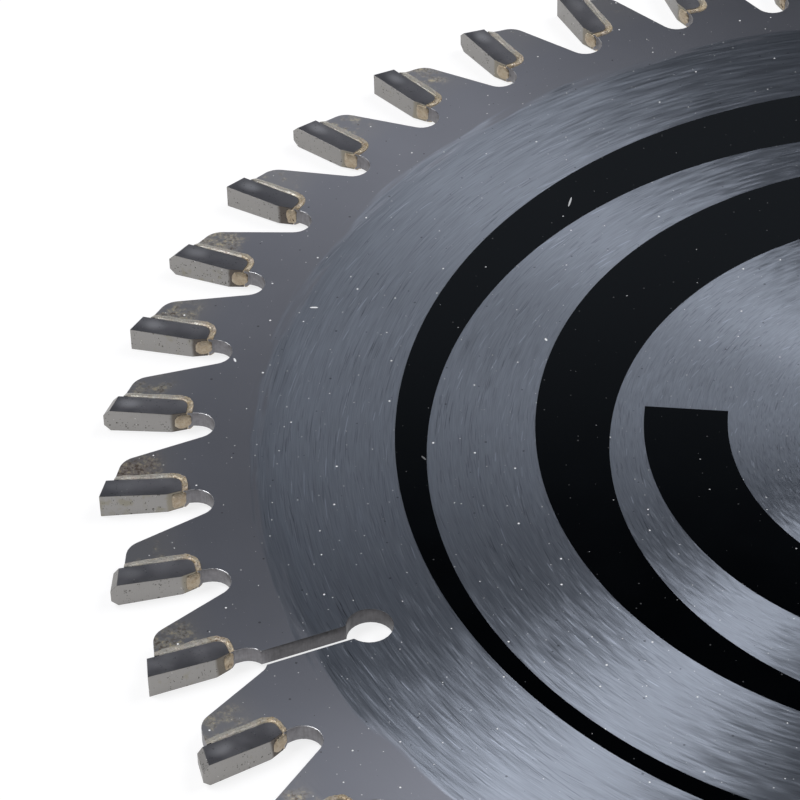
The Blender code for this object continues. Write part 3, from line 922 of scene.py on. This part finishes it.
for number in range(1, TOOTH_COUNT + 1):
    pattern_number = 1 if number % 2 else 2
    tip = patterns[pattern_number - 1]
    if number > 2:
        tip = bpy.data.objects.new(f"tip_{number:02d}", tip.data.copy())
        bpy.context.scene.collection.objects.link(tip)
        tip.data.transform(Matrix.Rotation((number - pattern_number) * PITCH, 4, "Z"))
    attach(tip, "root")
    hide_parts(f"carbide_tip_{number:02d}")


# The braze joints
# Silver braze fills the gap between each tip and its pocket. Below the tip's inner end it ran
# forward as well, and froze as a lumpy rounded pad on the bevelled toe.

JOINT_THICKNESS = 0.00011
JOINT_WIDTH_SHARE = 0.965      # of the tip's own width, so the joint stays behind the tip's sides
JOINT_OUTER_END = 0.0780
JOINT_END_WAY = (0.9994, -0.0349, 0.0)             # the way that its cut end faces
SIDEWAYS = 0.3                 # a tip's face whose normal leans more than this isn't brazed
PAD_SLOPE = 15.8               # how many degrees the toe leans back
PAD_THICKNESS = 0.00030
PAD_CROWN = ((0.00006, 0.00006), (0.00014, 0.00003), (0.00016, 0.00001))
PAD_LUMP_SIZE = 0.0007
PAD_LUMP_HEIGHT = 0.00026
PADS = (                       # length, height, corner radius, and its place on the toe, x and y
    (0.00140, 0.00172, 0.00040, 0.07266, -0.00037),
    (0.00100, 0.00170, 0.00030, 0.07244, -0.00043),
    (0.00162, 0.00164, 0.00066, 0.07266, -0.00037),
)
PAD_ORDER = (0, 1, 2, 2, 2, 0)

joint = bpy.data.objects.new("joint_pattern", patterns[0].data.copy())
bpy.context.scene.collection.objects.link(joint)
edit(joint)
select_faces(joint, lambda face: (
    abs(face.normal.z) > SIDEWAYS or face.normal.x > SIDEWAYS or face.normal.y > SIDEWAYS))
bpy.ops.mesh.delete(type="FACE")
bpy.ops.mesh.select_all(action="SELECT")
bpy.ops.transform.resize(value=(1.0, 1.0, JOINT_WIDTH_SHARE))
bpy.ops.mesh.bisect(
    plane_co=(JOINT_OUTER_END, 0.0, 0.0), plane_no=JOINT_END_WAY, clear_outer=True)
bpy.ops.object.mode_set(mode="OBJECT")
bpy.ops.object.modifier_add(type="SOLIDIFY")
wall = joint.modifiers[-1]
wall.thickness = JOINT_THICKNESS
wall.offset = 1.0
bpy.ops.object.modifier_apply(modifier=wall.name)
bpy.ops.object.shade_smooth_by_angle(angle=math.radians(30.0))
joint.data.materials.clear()
joint.data.materials.append(braze)

lumps = bpy.data.textures.new("foot_lump", "CLOUDS")
lumps.noise_scale = PAD_LUMP_SIZE
feet = []
for length, height, corner, x, y in PADS:
    bpy.ops.object.select_all(action="DESELECT")
    bpy.ops.mesh.primitive_plane_add(size=1.0)
    foot = bpy.context.object
    foot.name = "foot_pattern"
    foot.scale = (length, height, 1.0)
    bpy.ops.object.transform_apply(location=False, rotation=False, scale=True)
    bpy.ops.object.mode_set(mode="EDIT")
    bpy.ops.mesh.select_all(action="SELECT")
    bpy.ops.mesh.bevel(offset=corner, segments=5, affect="VERTICES")
    bpy.ops.mesh.extrude_region_move(TRANSFORM_OT_translate={"value": (0.0, 0.0, PAD_THICKNESS)})
    for inward, up in PAD_CROWN:
        bpy.ops.mesh.inset(thickness=inward, depth=up)
    bpy.ops.mesh.select_all(action="SELECT")
    bpy.ops.mesh.normals_make_consistent(inside=False)
    bpy.ops.object.mode_set(mode="OBJECT")
    foot.rotation_euler = (math.radians(-90.0), 0.0, math.radians(PAD_SLOPE))
    foot.location = (x, y, 0.0)
    bpy.ops.object.transform_apply(location=True, rotation=True, scale=True)
    bpy.ops.object.modifier_add(type="SUBSURF")
    rounding = foot.modifiers[-1]
    rounding.levels = 2
    rounding.render_levels = 2
    bpy.ops.object.modifier_apply(modifier=rounding.name)
    bpy.ops.object.modifier_add(type="DISPLACE")
    lump = foot.modifiers[-1]
    lump.texture = lumps
    lump.texture_coords = "LOCAL"
    lump.strength = PAD_LUMP_HEIGHT
    bpy.ops.object.modifier_apply(modifier=lump.name)
    bpy.ops.object.shade_smooth()
    foot.data.materials.append(braze)
    feet.append(foot)

for number in range(1, TOOTH_COUNT + 1):
    foot = feet[PAD_ORDER[number % len(PAD_ORDER)]]
    for pattern, name in ((joint, "braze_joint"), (foot, "braze_foot")):
        piece = bpy.data.objects.new(f"{name}_{number:02d}", pattern.data.copy())
        bpy.context.scene.collection.objects.link(piece)
        piece.data.transform(Matrix.Rotation((number - 1) * PITCH, 4, "Z"))
        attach(piece, "root")
for pattern in (joint, *feet):
    bpy.data.objects.remove(pattern, do_unlink=True)
